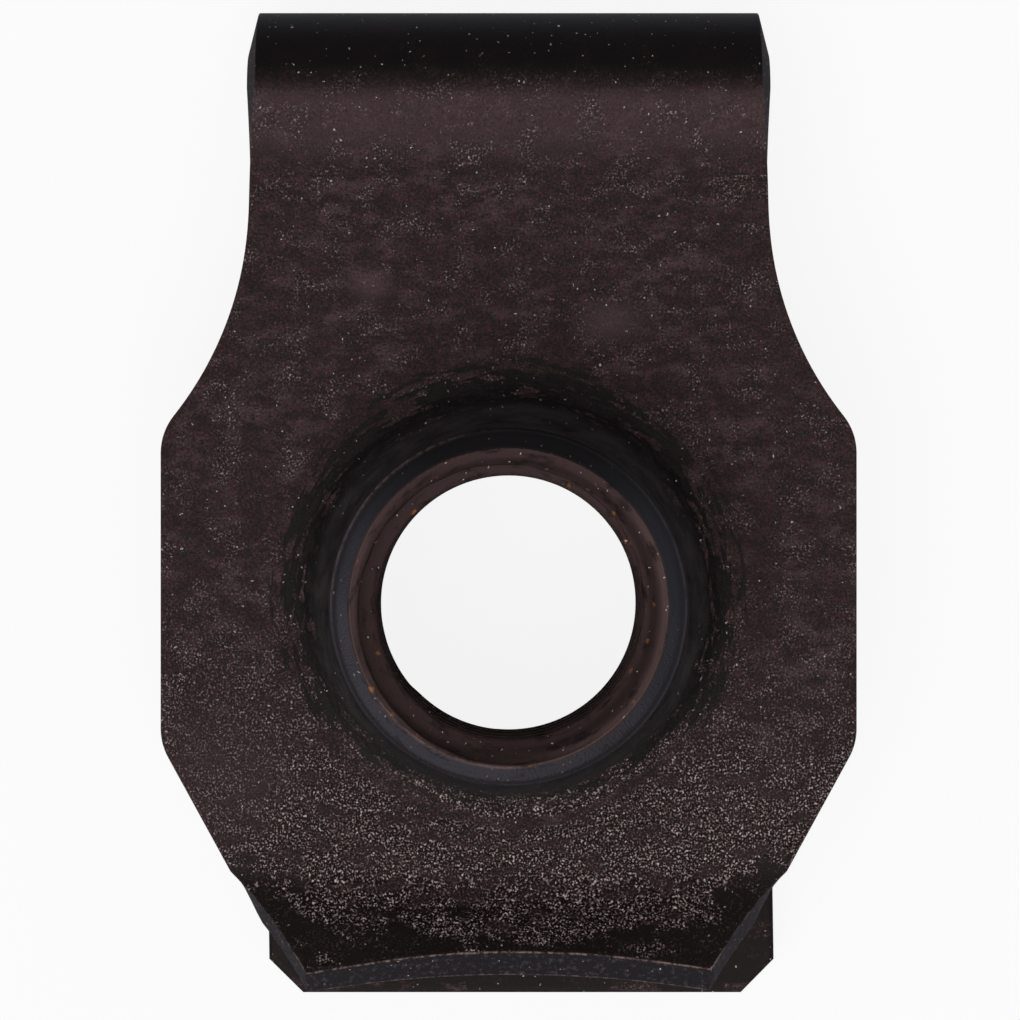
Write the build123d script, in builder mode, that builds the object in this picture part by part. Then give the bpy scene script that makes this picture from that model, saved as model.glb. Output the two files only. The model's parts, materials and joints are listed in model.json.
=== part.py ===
from math import acos, degrees, radians, tan
import os

from build123d import *

# An extruded U-nut: one strip of spring steel, folded into a clip that slides over the
# edge of a panel. The nut leaf carries a drawn and tapped collar, and the back leaf has
# a plain clearance hole in line with it.
# Frame, in millimetres: the origin is on the thread axis in the outer face of the nut
# leaf, +Z runs out along the collar, +Y points to the fold and -Y to the open mouth.

# Sheet and fold
sheet = 1.5  # thickness of the strip
panel_slot = 2.4  # free gap between the leaves
strip_width = 17.35  # width of the neck and of the back leaf
fold_reach = 20.0  # thread axis to the outside of the fold
draw_in = 0.22  # how far the fold pulls in the outer fibre, each side
swell = 0.18  # how far the fold pushes out the inner fibre, each side
pinch_run = 3.9  # length of each leaf over which the fold's section fades out

# Nut leaf
shoulder_step = 2.93  # how far the body stands out beyond the neck, each side
neck_round = 11.5  # hollow curve from the neck to the shoulder
shoulder_round = 2.0  # rounding of the body's four corners
taper_reach = 4.7  # thread axis to the corner where the body starts to taper
taper_angle = 28.7  # each tapered edge, from the length of the clip
nose_width = 13.3  # between the two corners of the mouth edge
nose_reach = 11.45  # thread axis to the middle of the mouth edge
nose_arch = 0.43  # how much further the corners of the mouth edge reach

# Lead-in lip, turned up so that the edge of a panel finds the slot
lip_depth = 2.5  # mouth edge to the lip's bend line
lip_angle = 39.5
lip_bend = 1.8  # bend radius on the outer face

# Collar, drawn up from the leaf and tapped
thread_diameter = 10.0
thread_pitch = 1.5
collar_height = 6.0  # above the outer face of the nut leaf
collar_wall = 0.7  # rim thickness outside the thread's major diameter
collar_draft = 3.5  # slope of the outer wall, in degrees
collar_root = 1.2  # hollow curve from the leaf into the wall
draw_entry = 0.8  # rounding where the sheet was drawn into the bore
mouth_flare = 0.05  # countersink beyond the major diameter
rim_round = 0.25

# Back leaf
back_reach = 13.49  # thread axis to the free end
back_slant = 0.85  # lean of the leaf's sides, in degrees, which drift to +X from the fold
back_corner = 1.15  # cut across each free corner
clearance_diameter = 11.5

strip_half = strip_width / 2
body_half = strip_half + shoulder_step
fold_radius = sheet + panel_slot / 2
fold_y = fold_reach - fold_radius
neck_y = fold_y - pinch_run
lip_line = nose_reach - lip_depth
back_inner_z = -sheet - panel_slot
back_outer_z = back_inner_z - sheet
bore_radius = (thread_diameter - thread_pitch) / 2
mouth_radius = thread_diameter / 2 + mouth_flare
rim_radius = thread_diameter / 2 + collar_wall
root_radius = rim_radius + (collar_height - collar_root) * tan(radians(collar_draft))

# The neck's hollow curve and the shoulder's round meet where both have turned this far,
# which closes the step from the neck to the body.
shoulder_turn = degrees(acos(1 - shoulder_step / (neck_round + shoulder_round)))

# The back leaf's middle line lies this far to +X where the fold's section has faded out,
# and at the free end.
near_drift = pinch_run * tan(radians(back_slant))
free_drift = (fold_y + back_reach) * tan(radians(back_slant))


def strip_section(middle_x, y, outer_z, inner_z, pinch):
    """Upright section across the strip, between its two faces' heights. A pinch of 0 is
    square, and a pinch of 1 has the fold's narrowed outer face and widened inner face."""
    outer_half = strip_half - draw_in * pinch
    inner_half = strip_half + swell * pinch
    with BuildSketch(Plane((middle_x, y, 0), x_dir=(1, 0, 0), z_dir=(0, -1, 0))) as section:
        with BuildLine():
            Polyline(
                (outer_half, outer_z),
                (inner_half, inner_z),
                (-inner_half, inner_z),
                (-outer_half, outer_z),
                close=True,
            )
        make_face()
    return section.sketch


# Space over the outer face of the nut leaf. Its underside is that face: flat, rolled up
# at the bend line, then straight up the lip.
with BuildPart() as face_form:
    with BuildSketch(Plane.YZ):
        with BuildLine():
            flat = Line((neck_y, 0), (-lip_line, 0))
            roll = JernArc(flat @ 1, flat % 1, lip_bend, -lip_angle)
            lip = PolarLine(roll @ 1, body_half, 180 - lip_angle)
            Polyline(lip @ 1, (neck_y, (lip @ 1).Y), flat @ 0)
        make_face()
    extrude(amount=body_half, both=True)

    with BuildSketch():
        with BuildLine():
            neck = JernArc((strip_half, neck_y), (0, -1), neck_round, shoulder_turn)
            shoulder = JernArc(neck @ 1, neck % 1, shoulder_round, -shoulder_turn)
            taper_start = taper_reach - shoulder_round * tan(radians(taper_angle / 2))
            side = Line(shoulder @ 1, (body_half, -taper_start))
            corner = JernArc(side @ 1, side % 1, shoulder_round, -taper_angle)
            taper = PolarLine(
                corner @ 1,
                lip_line + (corner @ 1).Y,
                -90 - taper_angle,
                length_mode=LengthMode.VERTICAL,
            )
            nose_corner = (nose_width / 2, -nose_reach - nose_arch)
            Line(taper @ 1, nose_corner)
            mirror(about=Plane.YZ)
            ThreePointArc(nose_corner, (0, -nose_reach), (-nose_width / 2, nose_corner[1]))
            Line((-strip_half, neck_y), (strip_half, neck_y))
        make_face()
    extrude(amount=2 * body_half, mode=Mode.INTERSECT)

with BuildPart() as clip_nut:
    # Nut leaf: the sheet lies under its outer face, with edges square to it all the way
    # up the lip.
    leaf_faces = face_form.faces().filter_by(lambda face: face.normal_at().Z < -0.1)
    thicken(leaf_faces, amount=sheet)

    # Back leaf, a strip that drifts sideways, with its free corners cut off
    with BuildSketch(Plane.XY.offset(back_outer_z)):
        with BuildLine():
            Polyline(
                (near_drift + strip_half, neck_y),
                (free_drift + strip_half, -back_reach),
                (free_drift - strip_half, -back_reach),
                (near_drift - strip_half, neck_y),
                close=True,
            )
        make_face()
        chamfer(vertices().group_by(Axis.Y)[0], length=back_corner)
    extrude(amount=sheet)

    # Between each leaf and the fold, the section changes from square to pinched
    for middle_x, outer_z, inner_z in (
        (0, 0, -sheet),
        (near_drift, back_outer_z, back_inner_z),
    ):
        square = strip_section(middle_x, neck_y, outer_z, inner_z, 0)
        pinched = strip_section(0, fold_y, outer_z, inner_z, 1)
        loft([square, pinched])

    # Fold: the pinched section carried half a turn round the end of the slot
    fold_axis = Axis((0, fold_y, -fold_radius), (-1, 0, 0))
    revolve(strip_section(0, fold_y, 0, -sheet, 1), axis=fold_axis, revolution_arc=180)

    # Collar: hollow root, drafted wall and rounded rim
    with BuildSketch(Plane.XZ):
        with BuildLine():
            root_start = (root_radius + collar_root, 0)
            root = RadiusArc(root_start, (root_radius, collar_root), collar_root)
            wall = Line(root @ 1, (rim_radius, collar_height - rim_round))
            rim = RadiusArc(wall @ 1, (rim_radius - rim_round, collar_height), -rim_round)
            Polyline(rim @ 1, (0, collar_height), (0, -sheet), (root_start[0], -sheet), root @ 0)
        make_face()
    revolve()

    # Bore at the thread's minor diameter, countersunk at the rim and rounded underneath
    # where the sheet was drawn in
    with BuildSketch(Plane.XZ):
        with BuildLine():
            entry_start = (bore_radius + draw_entry, -sheet)
            entry = RadiusArc(entry_start, (bore_radius, draw_entry - sheet), draw_entry)
            countersink = mouth_radius - bore_radius
            bore = Line(entry @ 1, (bore_radius, collar_height - countersink))
            Polyline(bore @ 1, (mouth_radius, collar_height), (0, collar_height), (0, -sheet), entry @ 0)
        make_face()
    revolve(mode=Mode.SUBTRACT)

    # Clearance hole in the back leaf
    with BuildSketch(Plane.XY.offset(back_outer_z)):
        Circle(clearance_diameter / 2)
    extrude(amount=sheet, mode=Mode.SUBTRACT)

clip_nut.part.label = "clip_nut"

os.makedirs("parts", exist_ok=True)
export_step(clip_nut.part, "parts/clip_nut.step")
print(f"clip_nut: {clip_nut.part.volume:.1f} mm3, valid {clip_nut.part.is_valid}")
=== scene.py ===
import json

import bmesh
import bpy
import numpy as np
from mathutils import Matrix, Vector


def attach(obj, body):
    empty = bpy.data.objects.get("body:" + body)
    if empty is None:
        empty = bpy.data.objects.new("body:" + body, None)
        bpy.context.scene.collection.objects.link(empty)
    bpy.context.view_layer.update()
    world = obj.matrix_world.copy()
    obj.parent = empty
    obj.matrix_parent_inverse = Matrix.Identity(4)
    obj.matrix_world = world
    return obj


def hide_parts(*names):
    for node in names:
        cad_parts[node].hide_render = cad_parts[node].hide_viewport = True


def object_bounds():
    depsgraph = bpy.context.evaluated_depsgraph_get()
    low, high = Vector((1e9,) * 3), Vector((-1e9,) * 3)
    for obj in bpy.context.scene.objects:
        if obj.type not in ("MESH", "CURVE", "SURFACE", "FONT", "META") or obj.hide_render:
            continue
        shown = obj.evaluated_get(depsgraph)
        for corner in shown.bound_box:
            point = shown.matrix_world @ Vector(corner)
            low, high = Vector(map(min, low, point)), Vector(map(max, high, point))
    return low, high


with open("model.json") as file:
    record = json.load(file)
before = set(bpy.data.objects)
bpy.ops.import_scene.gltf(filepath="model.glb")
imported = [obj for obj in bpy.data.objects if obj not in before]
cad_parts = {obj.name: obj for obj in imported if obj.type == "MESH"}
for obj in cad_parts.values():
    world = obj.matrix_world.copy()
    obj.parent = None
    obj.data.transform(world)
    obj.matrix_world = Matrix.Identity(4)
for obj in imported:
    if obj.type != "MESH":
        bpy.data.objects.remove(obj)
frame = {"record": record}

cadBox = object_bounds()
lowest, highest = (np.array(corner) * 1000 for corner in cadBox)  # millimetres
mounts = {mount["name"]: mount for mount in frame["record"]["mounts"]}
boreRadius = mounts["threaded_bore"]["dims"]["r_mm"]
clearanceRadius = mounts["clearance_hole"]["dims"]["r_mm"]
bodyHalf = highest[0]
collarTop = highest[2]
backOuter = lowest[2]
print("frame loaded, box in mm:", lowest.round(3), highest.round(3))

# Everything on the clip is measured in millimetres and degrees from the thread axis, in
# the outer face of the nut leaf, and turned into metres at the end.
clip = {
    "sheet": 1.5,            # thickness of the strip
    "stripWidth": 17.35,     # neck and back leaf
    "foldReach": 20.0,       # thread axis to the outside of the fold
    "drawIn": 0.22,          # outer fibre pulled in by the fold, each side
    "swell": 0.18,           # inner fibre pushed out by the fold, each side
    "pinchRun": 5.2,         # length of leaf over which that fades out
    "foldRise": 0.07,        # the outer face swells a little before it rolls over
    "riseRun": 2.3,
    "neckRun": 3.9,          # straight part of the neck
    "neckRound": 11.5,
    "shoulderRound": 2.0,
    "taperReach": 4.7,
    "taperAngle": 28.7,
    "noseWidth": 13.3,
    "noseReach": 11.45,
    "noseArch": 0.43,
    "lipBow": 0.12,          # hollow of the slanted edges up the lip
    "lipDepth": 2.5,
    "lipAngle": 39.5,
    "cornerEase": 2.5,       # degrees by which the lip's corners are bent less than its middle
    "leftEase": 4.0,         # and the left one further
    "lipBend": 1.8,
    "backReach": 13.49,
    "backSlant": 0.85,       # lean of the back leaf's sides, which drift to +X
    "backCorner": 1.15,
    "nearRound": 0.04,       # rounding of the sheared edges, outer face
    "farRound": 0.13,        # and inner face
}
collar = {
    "wall": 0.7,             # rim outside the thread's major diameter
    "draft": 3.5,
    "root": 1.2,
    "drawEntry": 0.8,
    "mouthFlare": 0.05,
    "rimRound": 0.25,
    "rimFall": 0.13,         # how far the rim slopes down outwards
    "rimWave": 0.02,         # the torn rim isn't quite flat
    "majorRadius": 5.0,
    "pitch": 1.5,
    "threadStart": 0.35,     # turns
}
counts = {
    "spokes": 60,            # across the strip at the seam
    "edge": 3,               # in each rounding of a sheared edge
    "neck": 14,              # along the outline, piece by piece
    "neckArc": 24,
    "shoulderArc": 8,
    "side": 26,
    "cornerArc": 7,
    "taper": 12,
    "slant": 14,
    "mouth": 20,
    "backSide": 70,
    "backCorner": 5,
    "backEnd": 22,
    "leafRows": 40,          # from the collar out to the edge, on the outer face
    "innerRows": 15,         # and on the inner face
    "backRows": 9,
    "foldRows": 34,
    "entryArc": 8,
    "threadRows": 108,
    "sinkRows": 15,
    "rimArc": 6,
    "wallRows": 6,
    "rootArc": 13,
}

stripHalf = clip["stripWidth"] / 2
sheet = clip["sheet"]
foldRadius = -backOuter / 2
foldY = clip["foldReach"] - foldRadius
lipLine = clip["noseReach"] - clip["lipDepth"]


# Smooth step: 0 below the first limit, 1 above the second, and 3t^2 - 2t^3 between
def smoothStep(values, start, end):
    t = np.clip((values - start) / (end - start), 0, 1)
    return t * t * (3 - 2 * t)


# Line: evenly spaced points after the start, up to the end
def linePoints(start, end, count):
    t = np.linspace(0, 1, count + 1)[1:, None]
    return np.array(start) + t * (np.array(end) - np.array(start))


# Arc: the start is turned about a centre that lies one radius away, square to the heading
def arcPoints(start, heading, radius, turn, count):
    square = np.radians(heading + 90 * np.sign(turn))
    centre = np.array(start) + radius * np.array([np.cos(square), np.sin(square)])
    angles = square + np.pi + np.radians(np.linspace(0, turn, count + 1)[1:])
    return centre + radius * np.stack([np.cos(angles), np.sin(angles)], axis=1)


# Seam: a place across the strip becomes a point on the line where a leaf meets the fold
def seamPoints(across):
    return np.stack([across, across * 0 + foldY], axis=-1)


# Inward direction at each point of a clockwise outline: the two neighbouring edges'
# directions turned a quarter clockwise and mitred, and along the seam at both ends
def inwardDirections(outline):
    steps = np.diff(outline, axis=0)
    steps /= np.linalg.norm(steps, axis=1)[:, None]
    normals = np.stack([steps[:, 1], -steps[:, 0]], axis=1)
    before, after = normals[:-1], normals[1:]
    mitred = (before + after) / (1 + (before * after).sum(axis=1))[:, None]
    return np.concatenate([[[-1, 0]], mitred, [[1, 0]]])


# A half outline mirrored in X and joined to itself at the middle of the free end
def bothHalves(half):
    left = half[::-1] * np.array([-1, 1])
    return np.concatenate([half, left[1:]])


# Edge of the sheet: quarter circles of the two roundings with a straight wall between,
# as (distance in from the outline, depth below the outer face)
def edgeProfile():
    near, far = clip["nearRound"], clip["farRound"]
    quarter = np.linspace(0, np.pi / 2, counts["edge"] + 1)
    top = np.stack([near * (1 - np.sin(quarter)), near * (1 - np.cos(quarter))], axis=1)
    wall = np.array([[0, near + 0.06], [0, sheet / 2], [0, sheet - far - 0.06]])
    bottom = np.stack([far * (1 - np.cos(quarter)), sheet - far + far * np.sin(quarter)], axis=1)
    return np.concatenate([top, wall, bottom])


# The fold's squeeze at a depth in the sheet: pulled in at the outer face, pushed out at
# the inner one, in proportion between
def squeeze(depth):
    return clip["drawIn"] - (clip["drawIn"] + clip["swell"]) * depth / sheet


profile = edgeProfile()
outerHalf = stripHalf - squeeze(0) - profile[0, 0]
innerHalf = stripHalf - squeeze(sheet) - profile[-1, 0]
acrossStrip = np.linspace(-1, 1, counts["spokes"] + 1)

# Plan outline of the nut leaf, right half from the seam to the middle of the mouth
shoulderStep = bodyHalf - stripHalf
shoulderTurn = np.degrees(np.arccos(1 - shoulderStep / (clip["neckRound"] + clip["shoulderRound"])))
neckY = foldY - clip["neckRun"]
half = [seamPoints(np.array([stripHalf]))]
half.append(linePoints(half[-1][-1], (stripHalf, neckY), counts["neck"]))
half.append(arcPoints(half[-1][-1], -90, clip["neckRound"], shoulderTurn, counts["neckArc"]))
shoulderHeading = shoulderTurn - 90
half.append(
    arcPoints(half[-1][-1], shoulderHeading, clip["shoulderRound"], -shoulderTurn, counts["shoulderArc"])
)
taperStart = clip["taperReach"] - clip["shoulderRound"] * np.tan(np.radians(clip["taperAngle"] / 2))
half.append(linePoints(half[-1][-1], (bodyHalf, -taperStart), counts["side"]))
half.append(arcPoints(half[-1][-1], -90, clip["shoulderRound"], -clip["taperAngle"], counts["cornerArc"]))
run = lipLine + half[-1][-1][1]
taperLean = np.tan(np.radians(clip["taperAngle"]))
half.append(linePoints(half[-1][-1], half[-1][-1] - np.array([run * taperLean, run]), counts["taper"]))
noseHalf, arch = clip["noseWidth"] / 2, clip["noseArch"]
slant = linePoints(half[-1][-1], (noseHalf, -clip["noseReach"] - arch), counts["slant"])
bow = clip["lipBow"] * np.sin(np.linspace(0, np.pi, counts["slant"] + 1)[1:, None])
slantOutwards = np.array([[0.75, -0.66]])
half.append(slant - bow * slantOutwards)
archRadius = (arch**2 + noseHalf**2) / (2 * arch)
mouthX = np.linspace(noseHalf, 0, counts["mouth"] + 1)[1:]
mouthY = -clip["noseReach"] - archRadius + np.sqrt(archRadius**2 - mouthX**2)
half.append(np.stack([mouthX, mouthY], axis=1))
nutOutline = bothHalves(np.concatenate(half))
nutOutline[-1] = seamPoints(np.array([-stripHalf]))[0]


wear = {
    "ring": 6.85,            # reach of the ring round the collar, rubbed and with painted shade
    "ringAbove": 0.4,        # how much further it goes towards the fold
    "ringBelow": 1.2,        # how much less towards the mouth
    "ringFade": 1.7,
    "cornerReach": 16.1,     # painted shade on the lip's corners, as |x| - 0.9 y
    "mouthStrip": 0.4,       # painted shade along the mouth, wider to the left
    "scoreReach": 10.25,     # a faint dark line beside it
    "speckleStart": -1.6,    # the speckle gets denser from here to the mouth
    "speckleFull": 8.5,
    # Pale patches, as x, y, radius and strength
    "pale": [
        (-4.8, 16.2, 1.3, 1.0),
        (3.4, 9.4, 1.1, 1.0),
        (-4.6, 10.6, 0.8, 1.0),
        (-9.4, -5.8, 3.4, 0.4),
        (7.6, -7.0, 2.2, 0.4),
    ],
    # Patches with little speckle, the same way
    "calm": [(-9.6, -5.6, 3.0, 0.55), (9.4, -2.6, 3.0, 0.55)],
}


# Zones that follow from the place, each made of smooth steps of a distance. Rubbed and
# shaded: the ring round the collar, by the distance from the thread axis, partly a rubbed
# ring and partly painted shade, which reaches further towards the fold. Painted shade: the
# lip's corners, a strip along its mouth, a faint dark line beside that, and the back leaf
# and lower fold. Rolled: the fold, by the distance past the seam, which takes painted shade.
# Highlight and pale: the swelling before the fold, which takes a painted highlight, and pale
# patches. Speckled: little at the neck, dense towards the mouth, less in calm patches, and
# almost none on the back leaf.
def placeZones(points):
    x, y, z = points[..., 0], points[..., 1], points[..., 2]
    away = np.hypot(x, y)
    up = y / np.maximum(away, 1e-6)
    reach = wear["ring"] + wear["ringAbove"] * np.maximum(up, 0) ** 2
    reach -= wear["ringBelow"] * np.maximum(-up, 0) ** 2
    rubbed = smoothStep(away, reach + wear["ringFade"], reach - 0.6) * smoothStep(z, -0.3, -0.05)
    corner = smoothStep(np.abs(x) - 0.9 * y, wear["cornerReach"] - 1.2, wear["cornerReach"] + 0.8)
    corner = corner * smoothStep(y, -8.0, -9.2)
    wider = 0.75 * smoothStep(np.abs(x), 1.5, 4.5) + 0.4 * smoothStep(-x, 1, 3)
    edge = clip["noseReach"] - wear["mouthStrip"] * (1 + wider)
    strip = 0.9 * smoothStep(-y, edge - 0.25, edge + 0.25)
    line = 0.55 * smoothStep(np.abs(y + wear["scoreReach"]), 0.24, 0.06) * smoothStep(x, 1.5, -1.0)
    worn = np.maximum(np.maximum(corner, strip), line)
    worn = np.where(z > -1.4, worn, 0.85 * smoothStep(z, -2.0, -3.0))
    rolled = smoothStep(y, foldY - 0.6, foldY + 0.75)
    lit = 0.75 * smoothStep(y, foldY - 3.0, foldY - 1.4) * smoothStep(y, foldY + 0.1, foldY - 0.5)
    for patchX, patchY, radius, strength in wear["pale"]:
        distance = np.hypot((x - patchX) / 1.4, y - patchY)
        lit = np.maximum(lit, strength * smoothStep(distance, radius, 0))
    speckled = smoothStep(-y, wear["speckleStart"], wear["speckleFull"]) * smoothStep(z, -4.2, -2.0)
    for patchX, patchY, radius, strength in wear["calm"]:
        distance = np.hypot(x - patchX, (y - patchY) / 1.3)
        speckled = speckled * (1 - strength * smoothStep(distance, radius, 0.4 * radius))
    return {"rubbed": rubbed, "worn": worn, "rolled": rolled, "lit": lit, "speckled": speckled}


# Outer face of the nut leaf over a place in plan: where the place comes to lie along the
# clip, its height and its tilt. The face is flat, rises a little before the fold, and
# rolls up a straight lip at the mouth, whose corners are bent less and so reach further.
def nutFace(x, y):
    corner = smoothStep(np.abs(x), 2.0, noseHalf)
    left = smoothStep(-x, 0.0, noseHalf)
    angle = np.radians(clip["lipAngle"] - clip["cornerEase"] * corner - clip["leftEase"] * left)
    beyond = np.maximum(-lipLine - y, 0)
    reach = beyond * np.cos(angle) / np.cos(np.radians(clip["lipAngle"]))
    past = np.minimum(reach / clip["lipBend"], np.sin(angle))
    tilt = np.arcsin(past)
    rolled = clip["lipBend"] * (1 - np.cos(tilt))
    straight = (reach - clip["lipBend"] * past) * np.tan(tilt)
    rise = clip["foldRise"] * smoothStep(y, foldY - clip["riseRun"], foldY)
    return y + beyond - reach, rolled + straight + rise, tilt


# A point of the nut leaf: its place on the outer face, then down through the sheet along
# the face's own normal
def nutPoint(plan, depth):
    y, height, tilt = nutFace(plan[..., 0], plan[..., 1])
    return np.stack([plan[..., 0], y - depth * np.sin(tilt), height - depth * np.cos(tilt)], axis=-1)


# A point of the back leaf: its height is the lowest face's plus the depth
def backPoint(plan, depth):
    return np.stack([plan[..., 0], plan[..., 1], backOuter + depth + plan[..., 0] * 0], axis=-1)


# Edge of a leaf: each point of the outline goes in by the edge profile, and by the
# squeeze of the fold, which fades with the square of the distance from the seam
def leafEdge(outline, place):
    inward = inwardDirections(outline)
    fade = np.clip(1 - (foldY - outline[:, 1]) / clip["pinchRun"], 0, 1) ** 2
    fade[[0, -1]] = 1
    inset = profile[:, 0][:, None] + squeeze(profile[:, 1])[:, None] * fade[None, :]
    plan = outline[None] + inward[None] * inset[..., None]
    return plan, place(plan, profile[:, 1][:, None])


patches = []  # grids of points, each with its zones and whether it closes on itself


# Zones steer the finish, each from 0 to 1. A patch gives those of the sheared edge and the
# painted glint on its burr, the tapped bore and the painted shadow line in it, the rim and
# the painted highlight at its mouth, and where it gives none they are 0. The others follow
# from the place, unless the patch gives them too.
def addPatch(points, closed=False, **given):
    zones = dict.fromkeys(("sheared", "burr", "tapped", "groove", "rim", "mouth"), 0.0)
    zones.update(placeZones(points))
    zones.update(given)
    grids = {name: np.broadcast_to(values, points.shape[:2]) for name, values in zones.items()}
    patches.append((points, grids, closed))


# Rows for a flat face: even steps, with a narrow last row that keeps the shading of the
# rounded edge out of the face
def faceRows(count):
    return np.concatenate([np.linspace(0, 1, count + 1)[:-1], [0.985, 1.0]])


# Rim of a leaf: outline points on the face, closed across the fold by the seam
def closedRim(edgeRow, seamHalf):
    seam = seamPoints(acrossStrip[1:-1] * seamHalf)
    return np.concatenate([edgeRow, seam])


# Nut leaf
nutPlan, nutEdge = leafEdge(nutOutline, nutPoint)
edgeDepth = profile[:, 1]
shearedRows = smoothStep(np.minimum(edgeDepth, sheet - edgeDepth), 0.0, 0.06)[:, None]
# Painted glint along the burrs of the sheared edge, at the outer face and fainter at the inner one,
# stronger along the mouth
nearBurr = smoothStep(edgeDepth, 0.0, 0.015) * smoothStep(edgeDepth, 0.09, 0.03)
farBurr = smoothStep(np.abs(edgeDepth - sheet + clip["farRound"]), 0.06, 0.0)
burrRows = (nearBurr + 0.6 * farBurr)[:, None]
alongMouth = 0.3 + 0.7 * smoothStep(-nutOutline[:, 1], clip["noseReach"] - 0.15, clip["noseReach"])
addPatch(nutEdge, sheared=shearedRows, burr=burrRows * alongMouth)
outerRim = closedRim(nutPlan[0], outerHalf)
innerRim = closedRim(nutPlan[-1], innerHalf)
spokeAngle = np.arctan2(outerRim[:, 1], outerRim[:, 0])
spoke = np.stack([np.cos(spokeAngle), np.sin(spokeAngle)], axis=1)

rimRadius = collar["majorRadius"] + collar["wall"]
rootRadius = rimRadius + (collarTop - collar["root"]) * np.tan(np.radians(collar["draft"]))
mouthRadius = collar["majorRadius"] + collar["mouthFlare"]


# Wall of the bore: the deepest of three cuts at each angle and height. The thread is a
# trapezoid wave along the helix, with 30 degree flanks and a root an eighth of the pitch
# wide, the entry a quarter circle, the countersink a 45 degree cone.
def boreWall(angle, z):
    entryTop = collar["drawEntry"] - sheet
    drop = np.clip(entryTop - z, 0, collar["drawEntry"])
    entry = boreRadius + collar["drawEntry"] - np.sqrt(collar["drawEntry"] ** 2 - drop**2)
    cone = mouthRadius - (collarTop - z)
    pitch = collar["pitch"]
    along = (z / pitch - angle / (2 * np.pi) + collar["threadStart"]) % 1.0
    fromRoot = np.abs(along - 0.5) * pitch
    thread = collar["majorRadius"] - (fromRoot - pitch / 16) / np.tan(np.pi / 6)
    thread = np.clip(thread, boreRadius, collar["majorRadius"])
    return np.maximum(np.maximum(thread, entry), cone)


entryQuarter = np.linspace(np.pi / 2, 0, counts["entryArc"] + 1)
entryZ = collar["drawEntry"] * (1 - np.sin(entryQuarter)) - sheet
sinkFoot = collarTop - (mouthRadius - boreRadius)
threadZ = np.linspace(entryZ[-1], sinkFoot, counts["threadRows"])
sinkZ = np.linspace(sinkFoot, collarTop, counts["sinkRows"])
boreZ = np.concatenate([entryZ, threadZ[1:], sinkZ[1:-1], [collarTop - 0.02, collarTop]])[:, None]
radius = boreWall(spokeAngle[None], boreZ)
bore = np.concatenate(
    [radius[..., None] * spoke[None], np.broadcast_to(boreZ, radius.shape)[..., None]], axis=2
)
# Painted highlight round the bore's mouth, faint on the side of the fold, and a painted shadow line in the
# countersink
boreMouth = smoothStep(bore[..., 2], collarTop - 0.24, collarTop - 0.1)
grooveDepth = 0.42  # of the painted shadow line in the countersink
groove = smoothStep(np.abs(bore[..., 2] - collarTop + grooveDepth), 0.2, 0.05)
foldSide = smoothStep(spoke[:, 1], 0.3, 0.9)
addPatch(
    bore, closed=True, tapped=1.0, groove=groove, mouth=boreMouth * (1 - 0.9 * foldSide), rubbed=0.0
)

# Collar outside: rim, rounded corner, drafted wall and hollow root, as (radius, height)
rimCorner = rimRadius - collar["rimRound"]
rimQuarter = np.linspace(0, np.pi / 2, counts["rimArc"] + 1)[1:]
rootQuarter = np.linspace(0, np.pi / 2, counts["rootArc"] + 1)[1:]
landRadii = [*(mouthRadius + step for step in (0, 0.03, 0.1, 0.2, 0.3)), rimCorner]
wallTop = np.array([rimRadius, collarTop - collar["rimRound"]])
belowCorner = wallTop + 0.1 * np.array([np.tan(np.radians(collar["draft"])), -1])
collarRows = np.concatenate(
    [
        [[landRadius, collarTop] for landRadius in landRadii],
        np.stack(
            [
                rimCorner + collar["rimRound"] * np.sin(rimQuarter),
                collarTop - collar["rimRound"] * (1 - np.cos(rimQuarter)),
            ],
            axis=1,
        ),
        [belowCorner],
        linePoints(belowCorner, (rootRadius, collar["root"]), counts["wallRows"]),
        np.stack(
            [
                rootRadius + collar["root"] * (1 - np.cos(rootQuarter)),
                collar["root"] * (1 - np.sin(rootQuarter)),
            ],
            axis=1,
        ),
    ]
)
outside = np.concatenate(
    [
        collarRows[:, 0][:, None, None] * spoke[None],
        np.broadcast_to(collarRows[:, 1][:, None, None], (len(collarRows), len(spoke), 1)),
    ],
    axis=2,
)
# The torn rim: three waves round it, kept below its full height, fade out down the wall.
# The first row stays where the bore ends.
wave = np.sin(3 * spokeAngle + 1) + 0.6 * np.sin(7 * spokeAngle) + 0.4 * np.sin(12 * spokeAngle + 2)
lift = smoothStep(outside[..., 2], collarTop - 1.2, collarTop) * (wave - 2.0) * collar["rimWave"]
outside[1:, :, 2] += lift[1:]
fall = np.clip((collarRows[:, 0] - mouthRadius) / (rimRadius - mouthRadius), 0, 1)
fall = fall * smoothStep(collarRows[:, 1], 0, collarTop - 0.3)
outside[..., 2] -= collar["rimFall"] * fall[:, None]
onRim = smoothStep(outside[..., 2], -0.02, 0.5)
# The land's edge by the bore takes the tapped colour and a painted highlight, faint on the side of the fold
rimMouth = smoothStep(np.hypot(outside[..., 0], outside[..., 1]), mouthRadius + 0.1, mouthRadius)
# A painted glint on the rim's corner, on the side that faces the fold and the left
burrFacing = np.array([-0.77, 0.64])
rimBurr = smoothStep(np.abs(collarRows[:, 0] - rimRadius), 0.12, 0.0)
rimBurr = rimBurr * smoothStep(collarRows[:, 1], belowCorner[1], wallTop[1])
rimBurr = 0.5 * rimBurr[:, None] * smoothStep(spoke @ burrFacing, 0.6, 0.98)
addPatch(
    outside, closed=True, rim=onRim, mouth=rimMouth * (1 - 0.8 * foldSide), tapped=rimMouth, burr=rimBurr
)

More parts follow.
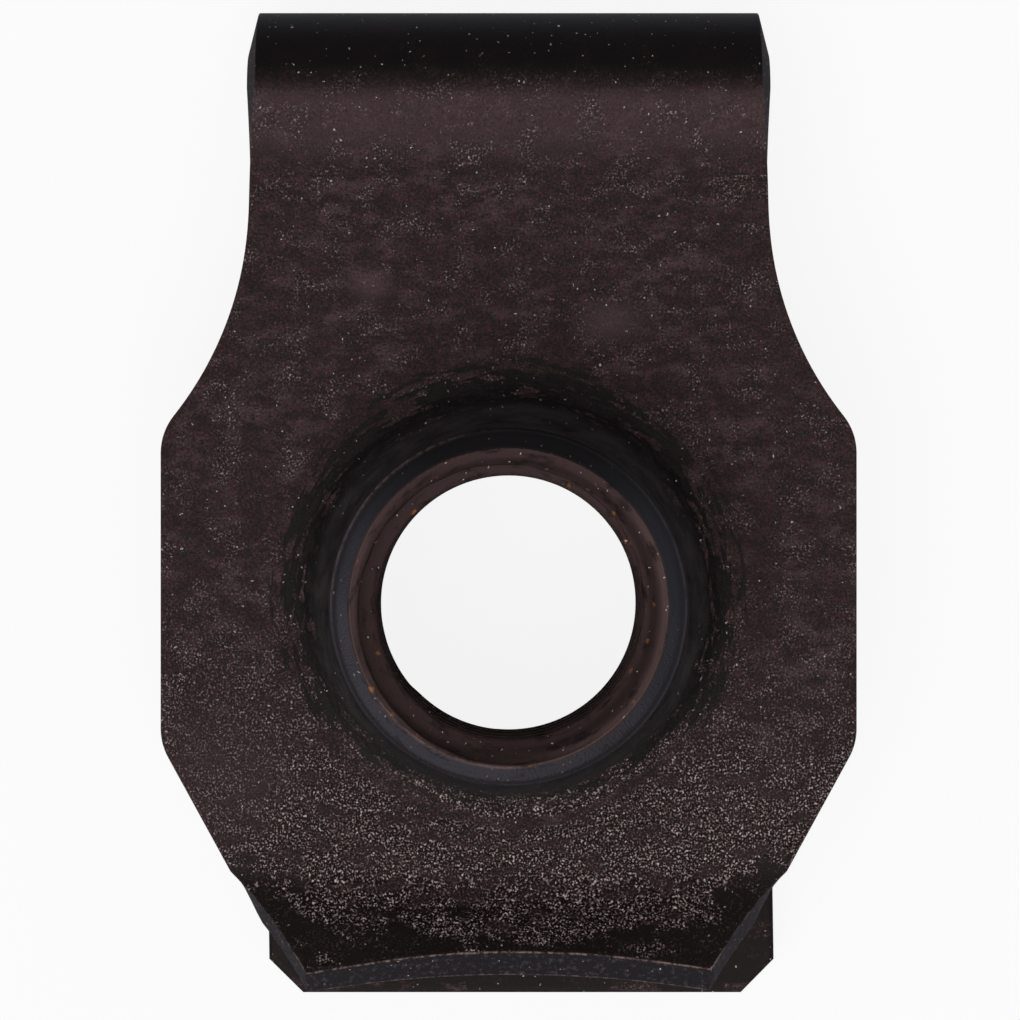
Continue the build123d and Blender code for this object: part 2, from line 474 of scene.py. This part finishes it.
# Outer and inner faces of the nut leaf, along the spokes
t = faceRows(counts["leafRows"])[:, None, None]
rootCircle = spoke * collarRows[-1, 0]
addPatch(nutPoint(rootCircle[None] + t * (outerRim - rootCircle)[None], 0.0), closed=True)
entryCircle = spoke * (boreRadius + collar["drawEntry"])
t = faceRows(counts["innerRows"])[:, None, None]
addPatch(nutPoint(entryCircle[None] + t * (innerRim - entryCircle)[None], sheet), closed=True)
print("nut leaf and collar laid out")


# A ring of the strip's section, carried half a turn round the end of the slot: across
# stays, and depth is taken off the radius
def foldPatch(across, depth):
    turn = np.linspace(0, np.pi, counts["foldRows"] + 1)[:, None]
    swollen = foldRadius - depth[None] + clip["foldRise"] * np.cos(np.minimum(turn, np.pi / 2)) ** 2
    plan = seamPoints(np.broadcast_to(across[None], swollen.shape))
    plan = plan + np.array([0, 1]) * (swollen * np.sin(turn))[..., None]
    return np.concatenate([plan, (swollen * np.cos(turn) - foldRadius)[..., None]], axis=2)


edgeHalf = stripHalf - squeeze(profile[:, 1]) - profile[:, 0]
addPatch(foldPatch(acrossStrip * outerHalf, acrossStrip * 0))
addPatch(foldPatch(acrossStrip * innerHalf, acrossStrip * 0 + sheet))
for side in (-1, 1):
    addPatch(foldPatch(side * edgeHalf, profile[:, 1]), sheared=shearedRows.T)

# Back leaf, drawn square, then every point drifts to +X by its distance from the fold
cut = clip["backCorner"]
half = [seamPoints(np.array([stripHalf]))]
half.append(linePoints(half[-1][-1], (stripHalf, cut - clip["backReach"]), counts["backSide"]))
half.append(linePoints(half[-1][-1], (stripHalf - cut, -clip["backReach"]), counts["backCorner"]))
half.append(linePoints(half[-1][-1], (0, -clip["backReach"]), counts["backEnd"]))
backOutline = bothHalves(np.concatenate(half))
backOutline[:, 0] += (foldY - backOutline[:, 1]) * np.tan(np.radians(clip["backSlant"]))
backPlan, backEdge = leafEdge(backOutline, backPoint)
addPatch(backEdge, sheared=shearedRows, burr=0.3 * burrRows)

backRim = closedRim(backPlan[0], outerHalf)
backSpoke = backRim / np.linalg.norm(backRim, axis=1)[:, None]
holeProfile = clearanceRadius + profile[:, 0]
hole = holeProfile[:, None, None] * backSpoke[None]
addPatch(backPoint(hole, profile[:, 1][:, None]), closed=True, sheared=shearedRows, burr=burrRows)
t = faceRows(counts["backRows"])[:, None, None]
for rim, row, depth in ((backRim, 0, 0.0), (closedRim(backPlan[-1], innerHalf), -1, sheet)):
    start = backSpoke * holeProfile[row]
    addPatch(backPoint(start[None] + t * (rim - start)[None], depth), closed=True)
print("fold and back leaf laid out")


# Quads of a grid: each face joins a point, its neighbour in the row and the same two in
# the next row. A closed grid joins its last column to its first.
def gridQuads(rows, columns, closed, offset):
    index = np.arange(rows * columns).reshape(rows, columns) + offset
    if closed:
        index = np.concatenate([index, index[:, :1]], axis=1)
    corners = [index[:-1, :-1], index[:-1, 1:], index[1:, 1:], index[1:, :-1]]
    return np.stack([corner.ravel() for corner in corners], axis=1)


# The patches go into one mesh in metres. Points that lie on each other are merged, which
# closes the surface, and all faces are then turned outwards.
def meshFromPatches(name, patches):
    offset, faces = 0, []
    for points, _, closed in patches:
        faces.append(gridQuads(*points.shape[:2], closed, offset))
        offset += points.shape[0] * points.shape[1]
    points = np.concatenate([patch[0].reshape(-1, 3) for patch in patches]) / 1000
    mesh = bpy.data.meshes.new(name)
    mesh.from_pydata(points.tolist(), [], np.concatenate(faces).tolist())
    for label in patches[0][1]:
        values = np.concatenate([zones[label].ravel() for _, zones, _ in patches])
        layer = mesh.attributes.new(label, "FLOAT", "POINT")
        layer.data.foreach_set("value", values.astype(np.float32))
    work = bmesh.new()
    work.from_mesh(mesh)
    bmesh.ops.remove_doubles(work, verts=work.verts, dist=5e-7)
    bmesh.ops.recalc_face_normals(work, faces=work.faces)
    openEdges = sum(1 for edge in work.edges if not edge.is_manifold)
    print(name, "faces", len(work.faces), "open edges", openEdges, "volume", work.calc_volume() * 1e9)
    work.to_mesh(mesh)
    work.free()
    mesh.polygons.foreach_set("use_smooth", np.ones(len(mesh.polygons), dtype=bool))
    mesh.update()
    return mesh


clipMesh = meshFromPatches("phosphatedClip", patches)
clipObject = bpy.data.objects.new("phosphatedClip", clipMesh)
bpy.context.scene.collection.objects.link(clipObject)
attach(clipObject, "root")
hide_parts("clip_nut")

finish = {
    "matteDark": (0.0170, 0.0107, 0.0110),   # hollows of the matte coat
    "matteOlive": (0.0212, 0.0178, 0.0132),  # and its two browns
    "mattePink": (0.0475, 0.0219, 0.0266),
    "blotch": (0.085, 0.052, 0.056),         # pale blotches and patches, and the painted highlight before the fold
    "gap": (0.0042, 0.0026, 0.0020),         # between the grains, and the painted shadow line in the countersink
    "grain": (0.640, 0.520, 0.500),
    "grainDim": (0.270, 0.190, 0.182),
    "rubbed": (0.0026, 0.0022, 0.0022),      # ring round the collar, rubbed and with painted shade, and painted shade on the land
    "rubbedLight": (0.0130, 0.0105, 0.0098),
    "worn": (0.0115, 0.0080, 0.0076),        # painted shade on the lip, the back leaf and the lower fold
    "rolled": (0.0058, 0.0048, 0.0050),      # painted shade on the outside of the fold
    "rolledFar": (0.0045, 0.0092, 0.0150),   # and a painted bluish reflection over its middle height
    "sheared": (0.0122, 0.0102, 0.0134),
    "shearedLight": (0.055, 0.046, 0.052),
    # painted glint on the burrs of the sheared edges and on the rim's corner
    "burr": (0.200, 0.135, 0.120),
    "rim": (0.0275, 0.0264, 0.0320),         # land on top of the collar
    # dark streaks of the collar's wall, and painted shade on the wall and land towards the mouth
    "wallDark": (0.0170, 0.0150, 0.0158),
    "wall": (0.0360, 0.0310, 0.0320),
    "mouth": (0.086, 0.055, 0.053),          # painted highlight on the edge between the land and the countersink
    "tapped": (0.0490, 0.0292, 0.0288),
    "fleck": (0.60, 0.53, 0.50),
    "rust": (0.40, 0.16, 0.035),
    "matteRough": 0.6,
    "rubbedRough": 0.4,
    "shearedRough": 0.75,
    "specular": 0.08,
    "specularTint": (1.0, 0.88, 0.92),
    "grainSize": 0.068,                      # millimetres between grains
    "reliefHeight": 0.02,                    # millimetres
    "reliefStrength": 0.7,
}


# Small writers for node trees. A node's inputs are given by name or number, as values or
# as the sockets they come from.
def addNode(tree, kind, inputs=None, **settings):
    made = tree.nodes.new("ShaderNode" + kind)
    for name, value in settings.items():
        setattr(made, name, value)
    for key, value in (inputs or {}).items():
        if isinstance(value, bpy.types.NodeSocket):
            tree.links.new(value, made.inputs[key])
        else:
            made.inputs[key].default_value = value
    return made


# One sum on numbers, and one on vectors, which gives the whole node, because some sums
# have their result in its first output and others in the one called Value
def maths(tree, operation, *values):
    return addNode(tree, "Math", dict(enumerate(values)), operation=operation).outputs[0]


def vectorMaths(tree, operation, *values):
    return addNode(tree, "VectorMath", dict(enumerate(values)), operation=operation)


# A value carried from one range to 0..1 with soft ends, as smoothStep does
def softRange(tree, value, start, end):
    inputs = {"Value": value, "From Min": start, "From Max": end}
    return addNode(tree, "MapRange", inputs, interpolation_type="SMOOTHSTEP").outputs["Result"]


# The first colour or value where the factor is 0, the second where it is 1, in proportion
# between. A Mix node keeps its colours in inputs 6 and 7 and output 2, its values in
# inputs 2 and 3 and output 0.
def mixColour(tree, factor, first, second):
    made = addNode(tree, "Mix", {"Factor": factor}, data_type="RGBA")
    for socket, colour in ((made.inputs[6], first), (made.inputs[7], second)):
        if isinstance(colour, bpy.types.NodeSocket):
            tree.links.new(colour, socket)
        else:
            socket.default_value = (*colour, 1)
    return made.outputs[2]


def mixValue(tree, factor, first, second):
    return addNode(tree, "Mix", {0: factor, 2: first, 3: second}).outputs[0]


# Soft lumps, as many to the unit as the scale says, each detail adding lumps half as wide
def noise(tree, vector, scale, detail=3.0, roughness=0.55):
    inputs = {"Vector": vector, "Scale": scale, "Detail": detail, "Roughness": roughness}
    return addNode(tree, "TexNoise", inputs).outputs["Fac"]


# A zone of the mesh, from 0 to 1
def zoneValue(tree, name):
    return addNode(tree, "Attribute", attribute_name=name).outputs["Fac"]


# Dots: the cells of a Voronoi pattern, lit within a reach of their middles. Only a share
# is kept, and a weight, the square of a chance, leaves most of those small and faint.
def dots(tree, vector, scale, size, share):
    cells = addNode(tree, "TexVoronoi", {"Vector": vector, "Scale": scale})
    chance = addNode(tree, "SeparateColor", {0: cells.outputs["Color"]})
    weight = maths(tree, "MULTIPLY", chance.outputs[1], chance.outputs[1])
    reach = mixValue(tree, weight, size * 0.7, size)
    near = softRange(tree, maths(tree, "DIVIDE", cells.outputs["Distance"], reach), 1.0, 0.45)
    kept = maths(tree, "LESS_THAN", chance.outputs[0], share)
    bright = mixValue(tree, weight, 0.35, 1.0)
    return maths(tree, "MULTIPLY", maths(tree, "MULTIPLY", near, kept), bright)


# The finish of the whole clip: a matte, grainy coat, over which the rubbed ring, painted
# shade, highlights and reflection, and the sheared and tapped parts are mixed by their zones, broken up by
# noise
def buildPhosphate():
    material = bpy.data.materials.new("phosphatedSteel")
    material.use_nodes = True
    tree = material.node_tree
    shader = tree.nodes["Principled BSDF"]
    rubbedZone, speckledZone = zoneValue(tree, "rubbed"), zoneValue(tree, "speckled")

    # Places in millimetres, and places stretched along circles round the thread axis
    place = vectorMaths(tree, "SCALE", addNode(tree, "TexCoord").outputs["Object"])
    place.inputs["Scale"].default_value = 1000
    place = place.outputs[0]
    flat = vectorMaths(tree, "MULTIPLY", place, (1, 1, 0)).outputs[0]
    away = vectorMaths(tree, "LENGTH", flat).outputs["Value"]
    heading = vectorMaths(tree, "NORMALIZE", flat).outputs[0]
    towardsFold = addNode(tree, "SeparateXYZ", {0: heading}).outputs[1]
    height = addNode(tree, "SeparateXYZ", {0: place}).outputs[2]
    outwards = addNode(tree, "CombineXYZ", {"Z": maths(tree, "MULTIPLY", away, 3.6)}).outputs[0]
    circling = vectorMaths(tree, "MULTIPLY_ADD", heading, (5.0, 5.0, 0), outwards).outputs[0]
    streaks = noise(tree, circling, 1.0, 4.0, 0.65)

    # Matte coat: fine mottling between olive and pink browns, broader tone, pale blotches,
    # and pale patches with the painted highlight on the swelling before the fold
    mottle = noise(tree, place, 11.0, 2.0, 0.7)
    tint = noise(tree, place, 3.3, 3.0, 0.7)
    squashed = vectorMaths(tree, "MULTIPLY", place, (0.75, 1.35, 1.0)).outputs[0]
    scaly = noise(tree, squashed, 1.2, 4.0, 0.65)
    broad = noise(tree, place, 0.28, 2.0, 0.5)
    pinkness = softRange(tree, tint, 0.36, 0.60)
    matte = mixColour(tree, pinkness, finish["matteOlive"], finish["mattePink"])
    tone = maths(tree, "ADD", maths(tree, "MULTIPLY", mottle, 0.68), maths(tree, "MULTIPLY", scaly, 0.32))
    matte = mixColour(tree, softRange(tree, tone, 0.40, 0.56), finish["matteDark"], matte)
    blotches = maths(tree, "ADD", maths(tree, "MULTIPLY", scaly, 0.7), maths(tree, "MULTIPLY", broad, 0.3))
    pale = maths(tree, "MULTIPLY", softRange(tree, blotches, 0.50, 0.64), softRange(tree, mottle, 0.3, 0.6))
    matte = mixColour(tree, maths(tree, "MULTIPLY", pale, 0.6), matte, finish["blotch"])
    # Pale patches, and the painted highlight on the swelling before the fold
    matte = mixColour(tree, maths(tree, "MULTIPLY", zoneValue(tree, "lit"), 0.6), matte, finish["blotch"])

    # Grains on dark gaps: faint at the neck, strong towards the mouth, fainter in patches
    # and, just below the collar, left in arcs round it
    fine = noise(tree, place, 1 / finish["grainSize"], 0.0)
    spark = softRange(tree, fine, 0.37, 0.74)
    turned = vectorMaths(tree, "MULTIPLY", place, (-1.1, 0.9, 1.0)).outputs[0]
    second = softRange(tree, noise(tree, turned, 0.9 / finish["grainSize"], 0.0), 0.37, 0.74)
    spark = maths(tree, "MULTIPLY", spark, second)
    patchy = mixValue(tree, softRange(tree, scaly, 0.40, 0.50), 0.2, 1.0)
    clumps = softRange(tree, noise(tree, place, 0.9, 3.0, 0.6), 0.46, 0.66)
    thin = mixValue(tree, clumps, 0.05, 0.38)
    arcs = vectorMaths(tree, "MULTIPLY_ADD", heading, (1.6, 1.6, 0), outwards).outputs[0]
    arcs = softRange(tree, noise(tree, arcs, 0.5, 3.0, 0.5), 0.40, 0.52)
    below = softRange(tree, towardsFold, -0.3, -0.85)
    nearby = maths(tree, "MULTIPLY", below, softRange(tree, away, 10.5, 8.5))
    nearby = maths(tree, "MULTIPLY", nearby, 0.75)
    patchy = maths(tree, "MULTIPLY", patchy, mixValue(tree, nearby, 1.0, arcs))
    strength = maths(tree, "MULTIPLY", mixValue(tree, speckledZone, thin, 1.0), patchy)
    pits = maths(tree, "MULTIPLY", softRange(tree, fine, 0.36, 0.24), 0.4)
    gaps = maths(tree, "MAXIMUM", maths(tree, "MULTIPLY", strength, 0.9), pits)
    matte = mixColour(tree, gaps, matte, finish["gap"])
    grains = maths(tree, "MULTIPLY", spark, strength)
    brightness = softRange(tree, noise(tree, place, 5.0, 1.0), 0.4, 0.6)
    grain = mixColour(tree, brightness, finish["grainDim"], finish["grain"])
    matte = mixColour(tree, grains, matte, grain)

    # The rubbed ring, partly painted shade, and the painted shade on the lip and back leaf,
    # with an uneven border; then painted shade on the outside of the fold, with a painted
    # bluish reflection over its middle height
    border = maths(tree, "MULTIPLY", maths(tree, "SUBTRACT", streaks, 0.5), 4.5)
    rubbing = softRange(tree, maths(tree, "ADD", rubbedZone, border), 0.32, 0.68)
    rubbing = maths(tree, "MULTIPLY", rubbing, softRange(tree, rubbedZone, 0.02, 0.25))
    wornZone = zoneValue(tree, "worn")
    border = maths(tree, "MULTIPLY", maths(tree, "SUBTRACT", scaly, 0.5), -4.0)
    wearing = softRange(tree, maths(tree, "ADD", wornZone, border), 0.25, 0.75)
    wearing = maths(tree, "MULTIPLY", wearing, softRange(tree, wornZone, 0.02, 0.25))
    gritty = mixValue(tree, spark, 0.4, 2.5)
    gritty = maths(tree, "MULTIPLY", softRange(tree, streaks, 0.48, 0.62), gritty)
    smooth = mixColour(tree, gritty, finish["rubbed"], finish["rubbedLight"])
    colour = mixColour(tree, rubbing, matte, smooth)
    colour = mixColour(tree, maths(tree, "MULTIPLY", wearing, 0.93), colour, finish["worn"])
    rubbing = maths(tree, "MAXIMUM", rubbing, wearing)
    rolledZone = zoneValue(tree, "rolled")
    middle = softRange(tree, height, -0.3, -1.8)
    middle = maths(tree, "MULTIPLY", middle, softRange(tree, height, -3.3, -2.2))
    far = mixColour(tree, middle, finish["rolled"], finish["rolledFar"])
    colour = mixColour(tree, maths(tree, "MULTIPLY", rolledZone, 0.94), colour, far)

    # Sheared edges, bore and collar. The bore's countersink takes a painted shadow line. The
    # rim's land takes painted shade towards the fold, and it and the wall take painted shade
    # towards the mouth. Burrs take a painted glint and the edge of the bore a painted highlight.
    shearedZone, rimZone = zoneValue(tree, "sheared"), zoneValue(tree, "rim")
    drag = noise(tree, vectorMaths(tree, "MULTIPLY", place, (6, 6, 1.5)).outputs[0], 1.0, 4.0, 0.6)
    shear = mixColour(tree, softRange(tree, drag, 0.50, 0.76), finish["sheared"], finish["shearedLight"])
    colour = mixColour(tree, shearedZone, colour, shear)
    bored = mixColour(tree, softRange(tree, streaks, 0.30, 0.52), finish["matteDark"], finish["tapped"])
    bored = mixColour(tree, maths(tree, "MULTIPLY", zoneValue(tree, "groove"), 0.45), bored, finish["gap"])
    colour = mixColour(tree, zoneValue(tree, "tapped"), colour, bored)
    onLand = softRange(tree, height, 4.2, 5.3)
    walls = mixColour(tree, softRange(tree, streaks, 0.35, 0.65), finish["wallDark"], finish["wall"])
    above = softRange(tree, towardsFold, 0.35, 0.95)
    land = mixColour(tree, maths(tree, "MULTIPLY", above, 0.85), finish["rim"], finish["rubbed"])
    land = mixColour(tree, maths(tree, "MULTIPLY", below, 0.5), land, finish["wallDark"])
    walls = mixColour(tree, maths(tree, "MULTIPLY", below, 0.6), walls, finish["wallDark"])
    walls = mixColour(tree, onLand, walls, land)
    colour = mixColour(tree, rimZone, colour, walls)
    burr = maths(tree, "MULTIPLY", zoneValue(tree, "burr"), softRange(tree, drag, 0.38, 0.62))
    colour = mixColour(tree, burr, colour, finish["burr"])
    mouth = maths(tree, "MULTIPLY", zoneValue(tree, "mouth"), softRange(tree, streaks, 0.25, 0.5))
    colour = mixColour(tree, mouth, colour, finish["mouth"])

    # Bright flecks, rust stains in the bore and a few rust specks
    jolt = addNode(tree, "TexNoise", {"Vector": place, "Scale": 9.0, "Detail": 1.0}).outputs["Color"]
    jolted = vectorMaths(tree, "MULTIPLY_ADD", jolt, (0.16, 0.16, 0.16), place).outputs[0]
    flecks = dots(tree, jolted, 3.6, 0.15, mixValue(tree, clumps, 0.5, 1.0))
    flecks = maths(tree, "MULTIPLY", flecks, mixValue(tree, rimZone, 0.9, 0.3))
    colour = mixColour(tree, flecks, colour, finish["fleck"])
    stains = dots(tree, jolted, 1.6, 0.22, maths(tree, "MULTIPLY", zoneValue(tree, "tapped"), 0.6))
    colour = mixColour(tree, maths(tree, "MULTIPLY", stains, 0.6), colour, finish["rust"])
    shifted = vectorMaths(tree, "ADD", place, (3.7, 8.1, 2.2)).outputs[0]
    rust = dots(tree, shifted, 0.6, 0.06, 0.12)
    colour = mixColour(tree, rust, colour, finish["rust"])
    tree.links.new(colour, shader.inputs["Base Color"])

    rough = mixValue(tree, rubbing, finish["matteRough"], finish["rubbedRough"])
    rough = mixValue(tree, shearedZone, rough, finish["shearedRough"])
    tree.links.new(rough, shader.inputs["Roughness"])
    bareRim = maths(tree, "MULTIPLY", rimZone, onLand)
    bareRim = maths(tree, "MULTIPLY", bareRim, mixValue(tree, above, 0.7, 0.2))
    bare = maths(tree, "MAXIMUM", bareRim, maths(tree, "MULTIPLY", rolledZone, 0.3))
    tree.links.new(bare, shader.inputs["Metallic"])
    shader.inputs["Specular IOR Level"].default_value = finish["specular"]
    shader.inputs["Specular Tint"].default_value = (*finish["specularTint"], 1)

    # Relief: the mottling and the grains
    relief = maths(tree, "MULTIPLY", spark, mixValue(tree, speckledZone, 0.2, 1.0))
    relief = maths(tree, "MULTIPLY", maths(tree, "ADD", mottle, relief), 0.5)
    depth = finish["reliefHeight"] / 1000
    inputs = {"Height": relief, "Strength": finish["reliefStrength"], "Distance": depth}
    tree.links.new(addNode(tree, "Bump", inputs).outputs[0], shader.inputs["Normal"])
    return material


clipMesh.materials.append(buildPhosphate())
print("clip finished")

studio = {
    "floorRadius": 1.1,      # metres, as are the sizes below
    "sweepHeight": 0.3,
    "sweepRound": 0.25,
    "floorColour": (0.86, 0.86, 0.86),
    "whiteShare": 0.88,      # how much of the floor's look is plain white
    "worldStrength": 0.38,
    "lampRadiance": 2.3,
    "lampSize": 0.8,
    "lampAway": 0.7,
    "lampAside": -0.12,
    "lampLean": 27.0,        # degrees from straight overhead, towards the mouth
}


# Matte paper that takes the shadow. To the camera it is mixed with plain white by a fixed
# share, and to the light and reflections it is paper alone.
def buildPaper():
    material = bpy.data.materials.new("paleSweep")
    material.use_nodes = True
    tree = material.node_tree
    tree.nodes.clear()
    paper = addNode(tree, "BsdfDiffuse", {"Color": (*studio["floorColour"], 1)})
    white = addNode(tree, "Emission", {"Strength": 1.0})
    seen = addNode(tree, "LightPath").outputs["Is Camera Ray"]
    share = maths(tree, "MULTIPLY", seen, studio["whiteShare"])
    mixed = addNode(tree, "MixShader", {0: share, 1: paper.outputs[0], 2: white.outputs[0]})
    addNode(tree, "OutputMaterial", {"Surface": mixed.outputs[0]})
    return material


# Floor and backdrop in one: a flat disc whose border sweeps up through a quarter circle,
# as a profile turned round the middle. The points of its innermost ring are merged.
def buildSweep():
    turn = np.linspace(0, 2 * np.pi, 97)[:-1]
    bend = np.linspace(0, np.pi / 2, 13)
    flatRings = [0, 0.1, 0.4]
    away = np.concatenate([flatRings, studio["floorRadius"] + studio["sweepRound"] * np.sin(bend)])
    up = np.concatenate([np.zeros(len(flatRings)), studio["sweepRound"] * (1 - np.cos(bend))])
    away = np.append(away, away[-1])
    up = np.append(up, studio["sweepHeight"])
    x = away[:, None] * np.cos(turn)
    y = away[:, None] * np.sin(turn)
    z = np.broadcast_to(up[:, None] + cadBox[0][2], x.shape)
    points = np.stack([x, y, z], axis=2)
    quads = gridQuads(len(away), len(turn), True, 0)
    mesh = bpy.data.meshes.new("studioSweep")
    mesh.from_pydata(points.reshape(-1, 3).tolist(), [], quads.tolist())
    work = bmesh.new()
    work.from_mesh(mesh)
    bmesh.ops.remove_doubles(work, verts=work.verts, dist=1e-6)
    work.to_mesh(mesh)
    work.free()
    mesh.polygons.foreach_set("use_smooth", np.ones(len(mesh.polygons), dtype=bool))
    mesh.materials.append(buildPaper())
    sweep = bpy.data.objects.new("studioSweep", mesh)
    bpy.context.scene.collection.objects.link(sweep)
    return sweep


buildSweep()

world = bpy.data.worlds.new("dimCeiling")
world.use_nodes = True
world.node_tree.nodes["Background"].inputs["Color"].default_value = (1, 1, 1, 1)
world.node_tree.nodes["Background"].inputs["Strength"].default_value = studio["worldStrength"]
bpy.context.scene.world = world

lamp = bpy.data.lights.new("softBox", "AREA")
lamp.shape = "DISK"
lamp.size = studio["lampSize"]
lamp.energy = studio["lampRadiance"] * np.pi * np.pi * (studio["lampSize"] / 2) ** 2
lampObject = bpy.data.objects.new("softBox", lamp)
lean, lampAway = np.radians(studio["lampLean"]), studio["lampAway"]
lampObject.location = (studio["lampAside"], -lampAway * np.sin(lean), lampAway * np.cos(lean))
lampObject.rotation_euler = (lean, 0, 0)
lampObject.rotation_euler.rotate_axis("Y", np.arctan(studio["lampAside"] / lampAway))
bpy.context.scene.collection.objects.link(lampObject)

view = {
    "lens": 132.35,
    "sensor": 36.0,
    "nearest": 0.01,                 # where its sight begins
    "height": 0.125,                 # above the outer face of the nut leaf
    "aside": (0.045e-3, -0.155e-3),  # from the middle of the box
}
camera = bpy.data.cameras.new("overhead")
camera.lens = view["lens"]
camera.sensor_width = view["sensor"]
camera.clip_start = view["nearest"]
cameraObject = bpy.data.objects.new("overhead", camera)
middle = (np.array(cadBox[0]) + np.array(cadBox[1])) / 2
cameraObject.location = (middle[0] + view["aside"][0], middle[1] + view["aside"][1], view["height"])
bpy.context.scene.collection.objects.link(cameraObject)
bpy.context.scene.camera = cameraObject
bpy.context.scene.view_settings.view_transform = "Standard"
print("studio ready")
